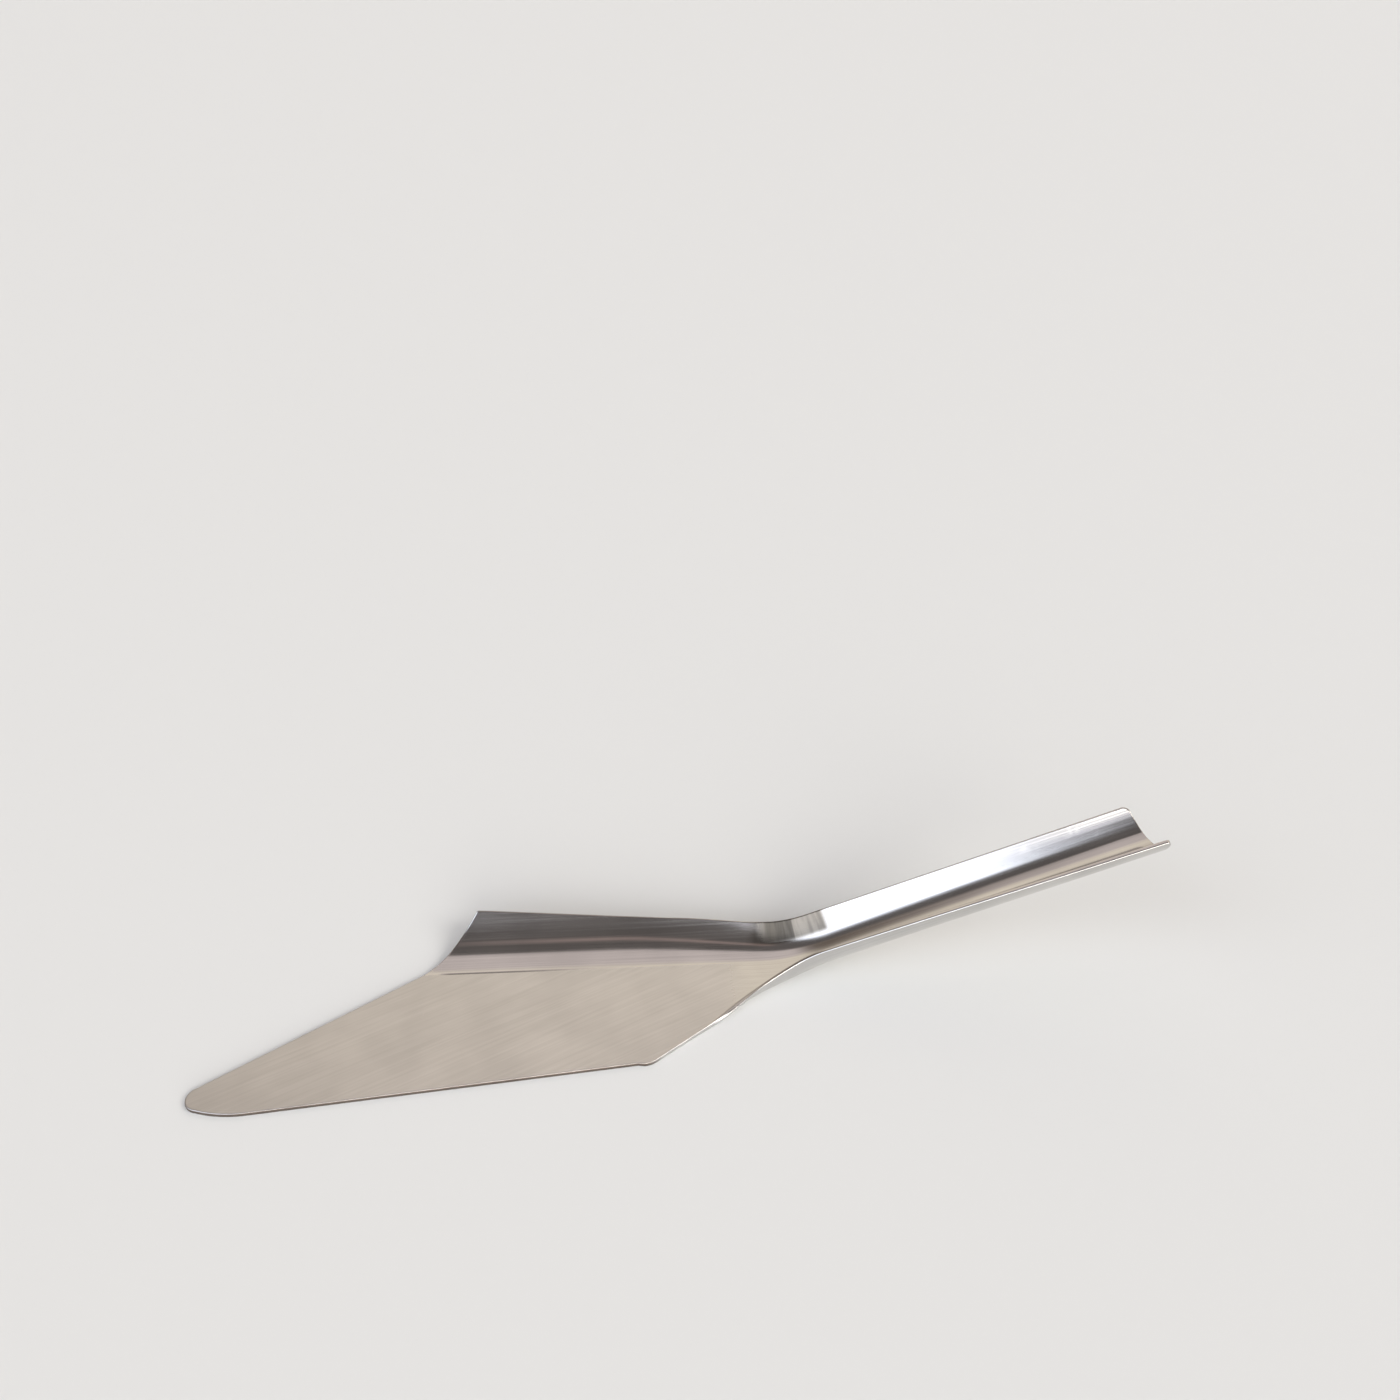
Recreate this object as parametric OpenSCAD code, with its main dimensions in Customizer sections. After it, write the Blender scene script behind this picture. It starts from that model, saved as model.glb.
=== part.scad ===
// Cake server, pressed from one sheet of stainless steel: a flat blade with an
// upturned guard along its back, and a rising handle rolled into a channel.
//
// Frame: +X runs from the blade's tip to the end of the handle, +Y from the
// blade to its guard, and +Z is up. The blade lies flat on Z = 0, and the
// origin is the middle of the server's bounding box, at that height.
//
// The sheet is cut as a flat blank and then formed. On the blank, s runs along
// the line where the guard turns up out of the blade, with s = 0 in the middle
// of the neck's bend and the handle at positive s. v runs across the blank: it
// is 0 on that line and positive on the guard's side.

/* [Sheet] */
// Thickness of the sheet
sheet_t = 1.2; // [0.8:0.1:1.6]
// How far each edge of the sheet is broken
edge_break = 0.3; // [0.1:0.05:0.35]

/* [Blade] */
// Length of the fold line, from the neck to the foot of the guard's cut end
fold_len = 103.9; // [96:0.1:116]
// Width of the blade, from the fold line to the front corner
blade_w = 35.2; // [30:0.1:42]
// Distance of the front corner from the neck, along the fold line
corner_back = 40.3; // [38:0.1:48]
// Angle between the blade's back edge and the fold line
back_edge_angle = 34.9; // [30:0.1:40]
// Angle between the blade's front edge and the fold line
front_edge_angle = 6.3; // [3:0.1:9]
// Angle between the fold line and the heel edge, which leads to the neck
heel_edge_angle = 38.7; // [35:0.1:44]
// Radius of the front corner
corner_r = 6.5; // [3:0.1:8]
// Length of the toe, the short edge between the front edge and the tip
toe_len = 7.5; // [7:0.1:12]
// Angle between the toe and the fold line
toe_angle = 18; // [10:0.1:20]
// Radius where the toe meets the front edge
toe_r = 30; // [10:1:30]
// Radius of the tip
tip_r = 4; // [3:0.1:6]

/* [Guard] */
// Width of the guard's strip of sheet at its free end
guard_strip_end = 20.8; // [17:0.1:24]
// Width of the guard's strip of sheet at the neck
guard_strip_neck = 12.8; // [11:0.1:15]
// Radius that the guard is rolled to at its free end
guard_r_end = 17.2; // [14:0.1:22]
// Radius that the guard is rolled to at the neck
guard_r_neck = 16.6; // [13:0.1:20]
// Steepest slope of the guard, which its upper part keeps
guard_slope = 50; // [42:1:60]
// Angle between the guard's cut end and the fold line, at the foot of the cut
guard_cut_angle = 41; // [36:0.1:48]
// Distance along the fold line from the foot of the cut end to its top
guard_cut_run = 14.7; // [12:0.1:18]

/* [Neck] */
// Angle that the handle rises at
rise_angle = 22.3; // [12:0.1:32]
// Length of sheet in the neck's bend
bend_len = 24; // [18:0.1:32]
// Length of sheet before the neck in which the section changes to the handle's
change_before = 28.8; // [22:0.1:33]
// Length of sheet after the neck in which it goes on changing
change_after = 8.4; // [5:0.1:14]
// Length of sheet before the neck in which the far side's roll tightens
tighten_before = 52; // [40:1:60]
// Length of sheet after the neck in which it goes on tightening
tighten_after = 18; // [10:1:25]
// Softness of the turn from the heel edge to the handle's near lip
heel_softness = 6.7; // [3:0.1:8]
// Length of sheet before the neck along which the heel edge is rolled up
heel_before = 32; // [26:0.1:34]
// Length of sheet after the neck until the roll takes the whole near wall
heel_after = 12; // [8:0.1:16]
// Radius that the heel edge is rolled to where the roll starts
heel_r = 2.4; // [2:0.1:4]
// Curl of the heel edge: 1 is an even roll, and more tightens it at the edge
heel_curl = 1.6; // [1:0.1:1.8]

/* [Handle] */
// Length of the handle along its bottom, from the neck to its end
handle_len = 105.2; // [80:0.1:130]
// Radius of the handle's channel at the neck
channel_r_neck = 7.6; // [7:0.1:9]
// Radius of the handle's channel at its end
channel_r_end = 9.2; // [8:0.1:11]
// Steepest slope of the far wall, which its upper part keeps
far_wall_slope = 57; // [50:1:75]
// Width of the far wall's strip of sheet at the neck
far_strip_neck = 12.2; // [10:0.1:14]
// Width of the far wall's strip of sheet at the handle's end
far_strip_end = 12.2; // [10:0.1:15]
// Width of the near wall's strip of sheet at the neck
near_strip_neck = 12.8; // [10:0.1:14]
// Width of the near wall's strip of sheet at the handle's end
near_strip_end = 12.2; // [10:0.1:15]
// Slant of the handle's end, to which its near lip reaches furthest
end_slant = 0.26; // [0:0.01:0.4]
// How far both lips reach past the middle of the end, beside that slant
end_hollow = 1.2; // [0:0.1:2.5]
// Radius of the two corners at the handle's end
end_corner_r = 2; // [1:0.1:4]

/* [Hidden] */

// Stations along each stretch of the blank, and strips across it
tip_steps = 7;
toe_steps = 5;
blade_steps = 5;
cut_steps = 8;
guard_steps = 7;
corner_steps = 4;
heel_steps = 2;
neck_steps = 15;
handle_steps = 10;
end_steps = 4;
strips = 24;
// Crowding of the strips towards the near edge: 1 is even
strip_crowding = 1.4;
// Steps that add up the curled section, and those that add up the neck's bend
curl_steps = 12;
bend_steps = 24;
// How promptly the far side goes from its roll to its steepest slope
levelling = 8;
// Least width of the near side's roll, which stands for none
least_roll = 0.01;
// The first station lies this far inside the tip, so that it has a width
tip_inset = 0.08;
// Length at the handle's end in which the stations turn to the slant
slant_len = 40;
degrees_in_radian = 180 / PI;

// ---- General rules ----
function mix(a, b, share) = a + (b - a) * share;
function smooth_step(x) = let (t = max(0, min(1, x))) t * t * (3 - 2 * t);
function soft_max(a, b, softness) = (a + b + sqrt((a - b) ^ 2 + softness ^ 2)) / 2;
function direction(angle) = [cos(angle), sin(angle)];
function sum_of(list) = [for (item = list) 1] * list;

// An edge of the blank that turns by an arc of radius r, at a corner that two
// straight lines make, at these angles to the fold line
function turn_centre(corner, before, after, r) =
    corner + direction((before + after) / 2 + 90) * r / cos((after - before) / 2);
function turned_edge(s, corner, before, after, r) =
    let (centre = turn_centre(corner, before, after, r))
    s < centre.x + r * sin(before) ? corner.y + tan(before) * (s - corner.x)
    : s > centre.x + r * sin(after) ? corner.y + tan(after) * (s - corner.x)
    : centre.y - sqrt(r ^ 2 - (s - centre.x) ^ 2);

// ---- Outline of the blade on the blank ----
front_corner = [-corner_back, -blade_w];
// Point where the back edge and the front edge would meet
sharp_s = (front_corner.y + tan(front_edge_angle) * corner_back - tan(back_edge_angle) * fold_len)
    / (tan(back_edge_angle) - tan(front_edge_angle));
sharp_point = [sharp_s, tan(back_edge_angle) * (sharp_s + fold_len)];
// The toe cuts that point off, and the tip's arc rounds the toe's back corner
tip_half_angle = (back_edge_angle + toe_angle) / 2;
toe_full_len = toe_len + tip_r / tan(tip_half_angle);
toe_share = toe_full_len / sin(back_edge_angle - front_edge_angle);
toe_corner = sharp_point
    + toe_share * sin(back_edge_angle + toe_angle) * direction(front_edge_angle);
tip_corner = sharp_point
    + toe_share * sin(toe_angle + front_edge_angle) * direction(back_edge_angle);
tip_centre = tip_corner
    + tip_r / sin(tip_half_angle) * direction((back_edge_angle - toe_angle) / 2);
tip_s = tip_centre.x - tip_r;
tip_back_s = tip_centre.x - tip_r * sin(back_edge_angle);
tip_toe_s = tip_centre.x - tip_r * sin(toe_angle);
toe_turn = turn_centre(toe_corner, -toe_angle, front_edge_angle, toe_r);
toe_turn_end_s = toe_turn.x + toe_r * sin(front_edge_angle);
corner_turn = turn_centre(front_corner, front_edge_angle, heel_edge_angle, corner_r);
corner_turn_start_s = corner_turn.x + corner_r * sin(front_edge_angle);
corner_turn_end_s = corner_turn.x + corner_r * sin(heel_edge_angle);

// ---- Widths of the blank ----
// 0 where the section is the guard's, and 1 where it is the handle's
function change(s) = smooth_step((s + change_before) / (change_before + change_after));
function guard_strip(s) = mix(guard_strip_neck, guard_strip_end, -s / fold_len);
function far_wall(s) = mix(far_strip_neck, far_strip_end, s / handle_len);
function near_wall(s) = mix(near_strip_neck, near_strip_end, s / handle_len);
function far_strip(s) = mix(guard_strip(s), far_wall(s), change(s));

// The guard's cut end curves up from its foot to the guard's top edge
cut_top_s = -fold_len + guard_cut_run;
cut_slope = tan(guard_cut_angle);
cut_curve = (guard_strip(cut_top_s) - cut_slope * guard_cut_run) / guard_cut_run ^ 2;
function cut_end(s) = let (run = s + fold_len) cut_slope * run + cut_curve * run ^ 2;

// The corners at the handle's end, as the width that each takes off
end_corner_s = handle_len - end_corner_r;
function corner_loss(s) =
    s < end_corner_s ? 0 : end_corner_r - sqrt(max(0, end_corner_r ^ 2 - (s - end_corner_s) ^ 2));

function far_edge(s) =
    s < tip_back_s ? tip_centre.y + sqrt(tip_r ^ 2 - (s - tip_centre.x) ^ 2)
    : s < -fold_len ? tan(back_edge_angle) * (s + fold_len)
    : s < cut_top_s ? cut_end(s)
    : far_strip(s) - corner_loss(s);

function heel_edge(s) =
    turned_edge(s, front_corner, front_edge_angle, heel_edge_angle, corner_r);
// Width of the near side, where the heel edge runs on into the near wall's lip
function near_strip(s) = soft_max(-heel_edge(s), near_wall(s), heel_softness);

function near_edge(s) =
    s < tip_toe_s ? tip_centre.y - sqrt(tip_r ^ 2 - (s - tip_centre.x) ^ 2)
    : s < toe_turn_end_s ? turned_edge(s, toe_corner, -toe_angle, front_edge_angle, toe_r)
    : s < corner_turn_start_s ? heel_edge(s)
    : corner_loss(s) - near_strip(s);

// ---- Section of the formed sheet at a station ----
// Radius of the handle's channel
function channel_r(s) = mix(channel_r_neck, channel_r_end, s / handle_len);

// The far side is rolled from the fold line up, to the guard's radius and then to
// the channel's, and goes on nearly flat at its steepest slope
function tightening(s) = smooth_step((s + tighten_before) / (tighten_before + tighten_after));
function far_r(s) =
    mix(mix(guard_r_neck, guard_r_end, -s / fold_len), channel_r(s), tightening(s));
function steepest(s) = mix(guard_slope, far_wall_slope, change(s));
function levelled(slope, limit) = slope / (1 + (slope / limit) ^ levelling) ^ (1 / levelling);

// The near side is flat up to its roll, which grows from a narrow lip at the heel
// until it takes in the whole near wall
function heel_change(s) = smooth_step((s + heel_before) / (heel_before + heel_after));
function roll_width(s) = max(least_roll, heel_change(s) * near_wall(s));
function roll_r(s) = mix(heel_r, channel_r(s), heel_change(s) ^ 2);
function roll_start(s) = roll_width(s) - near_strip(s);
function roll_share(s, v) = max(0, (roll_start(s) - v) / roll_width(s));

// Slope of the section at a place across the sheet
function section_slope(s, v) =
    v > 0 ? levelled(v / far_r(s) * degrees_in_radian, steepest(s))
    : -roll_width(s) / roll_r(s) * degrees_in_radian
        * roll_share(s, v) ^ mix(heel_curl, 1, heel_change(s));
// Place on the section, as distances across and up from the fold line
function section_place(s, v) =
    let (start = v > 0 ? 0 : max(v, roll_start(s)), run = v - start)
    [start, 0]
    + run / curl_steps * sum_of([
        for (i = [0.5 : curl_steps])
            direction(section_slope(s, start + run * i / curl_steps))
    ]);

// ---- Line that the sections stand on: straight, bent at the neck, straight ----
function rise(s) = rise_angle * smooth_step(s / bend_len + 0.5);
function bend_run(s) =
    (s + bend_len / 2) / bend_steps * sum_of([
        for (i = [0.5 : bend_steps])
            direction(rise((s + bend_len / 2) * i / bend_steps - bend_len / 2))
    ]);
bend_exit = bend_run(bend_len / 2);
function spine(s) =
    [-bend_len / 2, 0]
    + (s < -bend_len / 2 ? [s + bend_len / 2, 0]
    : s > bend_len / 2 ? bend_exit + (s - bend_len / 2) * direction(rise_angle)
    : bend_run(s));

// Place in space of a point of the sheet, at a height above its middle surface
function formed(s, v, height) =
    let (
        slope = section_slope(s, v),
        across = section_place(s, v) + height * direction(slope + 90),
        up = direction(rise(s) + 90),
        foot = spine(s) + across.y * up
    )
    [foot.x, across.x, foot.y + sheet_t / 2];

// ---- Stations: [s, how far the edges are drawn in there] ----
function even(from, to, steps) = [for (i = [1 : steps]) [mix(from, to, i / steps), 0]];
// Steps that close up towards the start or the end of an arc
function from_arc(from, to, steps) =
    [for (i = [1 : steps]) [from + (to - from) * (1 - cos(90 * i / steps)), 0]];
function to_arc(from, to, steps) =
    [for (i = [1 : steps]) [from + (to - from) * sin(90 * i / steps), 0]];

stations = [
    [tip_s + tip_inset, edge_break],
    each from_arc(tip_s + tip_inset, tip_toe_s, tip_steps),
    each even(tip_toe_s, toe_turn_end_s, toe_steps),
    each even(toe_turn_end_s, -fold_len, blade_steps),
    each even(-fold_len, cut_top_s, cut_steps),
    each even(cut_top_s, corner_turn_start_s, guard_steps),
    each even(corner_turn_start_s, corner_turn_end_s, corner_steps),
    each even(corner_turn_end_s, -change_before, heel_steps),
    each even(-change_before, change_after, neck_steps),
    each even(change_after, end_corner_s - edge_break, handle_steps),
    each to_arc(end_corner_s - edge_break, handle_len - edge_break, end_steps),
    [handle_len, edge_break]
];

// Near the handle's end a station takes on the slant and the hollow of the end
function end_reach(v) = end_hollow * (v / near_strip_end) ^ 2 - end_slant * v;
function slanted(s, v) = s + end_reach(v) * smooth_step((s - handle_len) / slant_len + 1);

// Columns of a station, from its near edge to its far one: [v, half thickness]
function columns(station) =
    let (
        low = near_edge(station[0]) + station[1],
        high = far_edge(station[0]) - station[1],
        half = sheet_t / 2 - station[1]
    )
    [
        [low, half - edge_break / 2],
        for (i = [0 : strips])
            [mix(low + edge_break, high - edge_break, (i / strips) ^ strip_crowding), half],
        [high, half - edge_break / 2]
    ];

// The loop of points round a station: over the top, and back underneath
function loop(station) =
    let (list = columns(station), last = len(list) - 1)
    [
        for (i = [0 : last])
            formed(slanted(station[0], list[i][0]), list[i][0], list[i][1]),
        for (i = [last : -1 : 0])
            formed(slanted(station[0], list[i][0]), list[i][0], -list[i][1])
    ];

points = [for (station = stations) each loop(station)];

// ---- Faces ----
column_count = strips + 3;
loop_len = 2 * column_count;
last_loop = (len(stations) - 1) * loop_len;
function quad(a, b, c, d) = [[a, b, c], [a, c, d]];
// The diagonals run the way that the guard's cut end and the heel edge slant
skin = [
    for (row = [0 : len(stations) - 2], i = [0 : loop_len - 1])
        let (
            a = row * loop_len + i,
            b = row * loop_len + (i + 1) % loop_len,
            c = b + loop_len,
            d = a + loop_len
        )
        each i < column_count ? quad(b, c, d, a) : quad(a, b, c, d)
];
caps = [
    for (i = [0 : column_count - 2])
        let (below = loop_len - 1 - i)
        each concat(
            quad(i, below, below - 1, i + 1),
            quad(last_loop + i, last_loop + i + 1, last_loop + below - 1, last_loop + below)
        )
];

// ---- The origin: the middle of the bounding box ----
function middle(list) = (min(list) + max(list)) / 2;
middle_x = middle([for (point = points) point.x]);
middle_y = middle([for (point = points) point.y]);

module blade_and_handle() {
    color([0.72, 0.71, 0.69])
    translate([-middle_x, -middle_y, 0])
    polyhedron(points = points, faces = concat(skin, caps), convexity = 6);
}

blade_and_handle();
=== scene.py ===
"""Cake server pressed from one sheet of stainless steel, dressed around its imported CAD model."""

import logging
import math
from dataclasses import dataclass, field
from enum import Enum

import bpy
import numpy as np
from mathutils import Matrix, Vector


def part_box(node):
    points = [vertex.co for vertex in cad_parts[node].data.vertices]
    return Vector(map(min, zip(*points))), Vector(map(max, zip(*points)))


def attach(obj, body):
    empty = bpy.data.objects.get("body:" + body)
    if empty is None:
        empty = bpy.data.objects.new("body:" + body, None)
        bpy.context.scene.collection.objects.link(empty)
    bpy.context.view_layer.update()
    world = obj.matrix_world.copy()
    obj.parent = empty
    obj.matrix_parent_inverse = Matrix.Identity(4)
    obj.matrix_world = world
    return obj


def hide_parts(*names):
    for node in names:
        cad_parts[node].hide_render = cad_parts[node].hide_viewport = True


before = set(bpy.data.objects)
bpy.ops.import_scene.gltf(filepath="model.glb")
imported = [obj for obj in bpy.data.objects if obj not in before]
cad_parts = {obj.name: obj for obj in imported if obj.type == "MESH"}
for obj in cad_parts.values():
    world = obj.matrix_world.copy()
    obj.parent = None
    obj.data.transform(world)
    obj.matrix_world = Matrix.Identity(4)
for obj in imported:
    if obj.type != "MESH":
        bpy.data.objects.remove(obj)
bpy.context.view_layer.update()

MM = 0.001
NODE = "blade_and_handle"

Colour = tuple[float, float, float, float]
Place = tuple[float, float, float]
Edge = tuple[float, float]
Socket = bpy.types.NodeSocket
Feed = bpy.types.NodeSocket | float | str | tuple

log = logging.getLogger("cake_server")


class Layer(Enum):
    """The layers of the sheet's mesh that its finish reads."""

    BLANK = "blank"
    RIM = "rim"


# ---------------------------------------------------------------- small rules
def mix(low: np.ndarray, high: np.ndarray, share: np.ndarray) -> np.ndarray:
    """Returns the value that lies at this share of the way from low to high."""
    return low + (high - low) * share


def smooth_step(x: np.ndarray) -> np.ndarray:
    """Returns a soft rise from 0 to 1 while x goes from 0 to 1."""
    t = np.clip(x, 0.0, 1.0)
    return t * t * (3.0 - 2.0 * t)


def soft_rise(x: np.ndarray, edge: Edge) -> np.ndarray:
    """Returns a soft rise from 0 to 1 while x crosses the edge."""
    return smooth_step((x - edge[0]) / (edge[1] - edge[0]))


def soft_max(a: np.ndarray, b: np.ndarray, softness: float) -> np.ndarray:
    """Returns the larger of a and b, with a rounded change between them."""
    return (a + b + np.sqrt((a - b) ** 2 + softness**2)) / 2.0


def direction(angle: np.ndarray) -> np.ndarray:
    """Returns the unit vectors at these angles, in degrees, on a new last axis."""
    turn = np.radians(angle)
    return np.stack([np.cos(turn), np.sin(turn)], axis=-1)


def steps(start: float, stop: float, count: int) -> np.ndarray:
    """Returns count even steps after start, the last of them at stop."""
    return np.linspace(start, stop, count + 1)[1:]


def deselect_everything() -> None:
    """Leaves no object selected, so that an operator acts only on the next one."""
    bpy.ops.object.select_all(action="DESELECT")


# ---------------------------------------------------------------- node helpers
@dataclass
class Graph:
    """Adds nodes to one node tree, each joined to what feeds it."""

    tree: bpy.types.NodeTree

    def feed(self, socket: Socket, value: Feed) -> None:
        """Joins a socket to another node's output, or sets it to a plain value.

        Args:
            socket: The input that is fed.
            value: The output to join it to, or its plain value.
        """
        if isinstance(value, bpy.types.NodeSocket):
            self.tree.links.new(value, socket)
        else:
            socket.default_value = value

    def add(
        self, kind: str, inputs: dict[int | str, Feed] | None = None, **settings: object
    ) -> bpy.types.Node:
        """Adds one node.

        Args:
            kind: Blender's name for the node's type, without its prefix.
            inputs: What feeds each of its sockets, by name or number.
            **settings: Its properties.

        Returns:
            The new node.
        """
        node = self.tree.nodes.new("ShaderNode" + kind)
        for name, value in settings.items():
            setattr(node, name, value)
        for key, value in (inputs or {}).items():
            self.feed(node.inputs[key], value)
        return node

    def math(self, operation: str, *values: Feed) -> Socket:
        """Returns the result of one sum on these values."""
        return self.add("Math", dict(enumerate(values)), operation=operation).outputs[0]

    def product(self, first: Feed, *others: Feed) -> Feed:
        """Multiplies values.

        Args:
            first: The first value.
            *others: The values that it is multiplied by, in order.

        Returns:
            Their product.
        """
        total = first
        for value in others:
            total = self.math("MULTIPLY", total, value)
        return total

    def ease(self, value: Feed, edge: Edge, low: float = 0.0, high: float = 1.0) -> Socket:
        """Makes a soft change while a value crosses an edge.

        Args:
            value: The value.
            edge: Where the change starts and where it ends.
            low: The result before the edge.
            high: The result after it.

        Returns:
            The result.
        """
        feeds = {"Value": value, "To Min": low, "To Max": high}
        feeds |= {"From Min": edge[0], "From Max": edge[1]}
        return self.add("MapRange", feeds, interpolation_type="SMOOTHSTEP").outputs["Result"]

    def mix(self, share: Feed, low: Feed, high: Feed) -> Socket:
        """Returns the value that lies at this share of the way from low to high."""
        return self.add("Mix", {"Factor": share, 2: low, 3: high}, data_type="FLOAT").outputs[0]

    def blend(self, share: Feed, below: Feed, above: Feed) -> Socket:
        """Returns the colour that lies at this share of the way from below to above."""
        feeds = {"Factor": share, 6: below, 7: above}
        return self.add("Mix", feeds, data_type="RGBA").outputs[2]

    def noise(self, place: Feed, scale: float, detail: float) -> Socket:
        """Returns flat noise from 0 to 1, at this scale and detail."""
        feeds = {"Vector": place, "Scale": scale, "Detail": detail}
        return self.add("TexNoise", feeds, noise_dimensions="2D").outputs[0]

    def along(self, way: Feed, axis: Place) -> Socket:
        """Returns how far a direction goes along an axis."""
        return self.add("VectorMath", {0: way, 1: axis}, operation="DOT_PRODUCT").outputs["Value"]


# ---------------------------------------------------------------- the finish
@dataclass(frozen=True)
class SteelMarks:
    """Where each kind of steel lies: sockets that go from 0 to 1.

    Attributes:
        blade: The rubbed blade.
        drawn_and_painted_shade: The neck's wall, stretched by the press, which is rougher and is
            painted darker and beige as painted shade and painted reflection.
        neck_painted_shade: The part of it that is painted darker still, as painted shade.
        touched: The end of the handle, dulled by fingers.
        crease: The part of the crease at the guard's foot that is painted darker, as painted
            shade.
        rim_painted_shade: The blade's rim, painted dark brown as painted shade.
    """

    blade: Socket
    drawn_and_painted_shade: Socket
    neck_painted_shade: Socket
    touched: Socket
    crease: Socket
    rim_painted_shade: Socket


@dataclass(frozen=True)
class WornSteel:
    """Stainless steel, satin on the blade and polished where the press drew it.

    The patterns follow the blank: its map holds s and v, in metres. Sizes of the
    patterns and edges along s or v are in millimetres. An edge is a pair of
    numbers: where a change starts and where it ends.

    Attributes:
        tone: Colour of the clean steel.
        painted_reflection_tone: Its colour on the neck's wall, a beige painted reflection.
        rim_shade_tone: Its colour on the blade's rim, a dark brown painted shade.
        satin: Roughness of the blade.
        polish: Roughness of the guard and handle.
        haze: Roughness where fingers have dulled the handle.
        neck: Roughness where the neck was stretched.
        rub_angle: Direction that the blade is rubbed in, from the fold line.
    """

    tone: Colour = (0.62, 0.605, 0.585, 1.0)
    # a beige tint on the neck's wall: painted reflection
    painted_reflection_tone: Colour = (0.66, 0.60, 0.51, 1.0)
    # dark brown painted shade on the blade's rim
    rim_shade_tone: Colour = (0.20, 0.165, 0.14, 1.0)
    satin: float = 0.34
    polish: float = 0.15
    haze: float = 0.22
    neck: float = 0.42
    tone_swing: float = 0.13
    rough_swing: float = 0.06
    scratch_depth: float = 0.004
    # streaks, as length and width, and blotches
    rub_angle: float = 28.0
    rub_size: Edge = (30.0, 0.9)
    brush_size: Edge = (60.0, 0.45)
    stretch_size: Edge = (1.6, 14.0)
    streak_detail: float = 3.0
    smudge_size: float = 7.0
    smudge_detail: float = 3.0
    cloud_size: float = 18.0
    cloud_detail: float = 2.0
    # the patterns' effects, each as an edge in the noise and the shades on its two sides
    smudge_edge: Edge = (0.25, 0.75)
    cloud_edge: Edge = (0.2, 0.8)
    cloud_shade: Edge = (0.93, 1.04)
    stretch_edge: Edge = (0.35, 0.75)
    # painted shade that darkens the neck's wall in streaks
    painted_streak_shade: Edge = (0.42, 0.30)
    # the darker patch at the neck's foot is painted shade
    neck_shade_depth: float = 0.42
    # the crease's dark line is painted shade
    crease_painted_shade: float = 0.45
    # where the marks lie
    blade_across: Edge = (0.3, -0.5)
    blade_along: Edge = (-8.0, -24.0)
    wall_across: Edge = (5.2, 7.2)
    # the neck's wall, where its painted shade and painted reflection also lie
    drawn_and_shade_start: Edge = (-13.0, -4.0)
    drawn_and_shade_stop: Edge = (14.5, 12.0)
    neck_shade_stop: Edge = (3.2, 2.6)
    # where the neck's painted shade ends
    touched_along: Edge = (58.0, 72.0)
    crease_across: Edge = (0.45, 0.12)
    crease_start: Edge = (-100.0, -96.0)
    crease_stop: Edge = (-58.0, -80.0)
    # the blade's rim, where it lies on the floor, gets painted shade
    rim_shade_edge: Edge = (0.62, 0.80)
    rim_shade_stop: Edge = (-36.0, -42.0)

    def _streaks(self, graph: Graph, place: Feed, size: Edge, angle: float) -> Socket:
        """Makes fine streaks.

        Args:
            graph: The node tree.
            place: Where the finish is read.
            size: Length and width of a streak.
            angle: Its direction from the fold line, in degrees.

        Returns:
            A value from 0 to 1.
        """
        scale = (1 / (size[0] * MM), 1 / (size[1] * MM), 1.0)
        feeds = {"Vector": place, "Angle": math.radians(-angle)}
        turned = graph.add("VectorRotate", feeds, rotation_type="Z_AXIS")
        stretched = graph.add("Mapping", {"Vector": turned.outputs[0], "Scale": scale})
        return graph.noise(stretched.outputs[0], 1.0, self.streak_detail)

    def _marks(self, graph: Graph, place: Feed) -> SteelMarks:
        """Finds where each kind of steel lies.

        Args:
            graph: The node tree.
            place: Where the finish is read.

        Returns:
            The marks.
        """
        parts = graph.add("SeparateXYZ", {0: place})
        s = graph.math("DIVIDE", parts.outputs[0], MM)
        v = graph.math("DIVIDE", parts.outputs[1], MM)
        rim = graph.add("Attribute", attribute_name=Layer.RIM.value).outputs["Fac"]
        smudge = graph.noise(place, 1 / (self.smudge_size * MM), self.smudge_detail)
        wall = graph.ease(v, self.wall_across)
        start, stop = graph.ease(s, self.drawn_and_shade_start), graph.ease(s, self.drawn_and_shade_stop)
        drawn_and_painted_shade = graph.product(start, stop, wall)
        return SteelMarks(
            blade=graph.product(
                graph.ease(v, self.blade_across),
                graph.ease(s, self.blade_along),
            ),
            drawn_and_painted_shade=drawn_and_painted_shade,
            neck_painted_shade=graph.product(drawn_and_painted_shade, graph.ease(s, self.neck_shade_stop)),
            touched=graph.product(
                graph.ease(s, self.touched_along),
                wall,
                graph.ease(smudge, self.smudge_edge),
            ),
            crease=graph.product(
                graph.ease(graph.math("ABSOLUTE", v), self.crease_across),
                graph.ease(s, self.crease_start),
                graph.ease(s, self.crease_stop),
            ),
            rim_painted_shade=graph.product(
                graph.ease(rim, self.rim_shade_edge),
                graph.ease(s, self.rim_shade_stop),
            ),
        )

    def _roughness(self, graph: Graph, marks: SteelMarks, grain: Socket) -> Socket:
        """Makes the finish's roughness.

        Args:
            graph: The node tree.
            marks: Where each kind of steel lies.
            grain: The streaks, from 0 to 1.

        Returns:
            The roughness.
        """
        rough = graph.ease(marks.blade, (0.0, 1.0), self.polish, self.satin)
        dulled = (
            (marks.touched, self.haze),
            (marks.drawn_and_painted_shade, self.neck),
            (marks.rim_painted_shade, self.neck),
        )
        for mark, value in dulled:
            rough = graph.math("MAXIMUM", rough, graph.math("MULTIPLY", mark, value))
        swing = graph.math("MULTIPLY_ADD", grain, 2 * self.rough_swing, -self.rough_swing)
        return graph.math("ADD", rough, swing)

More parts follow.
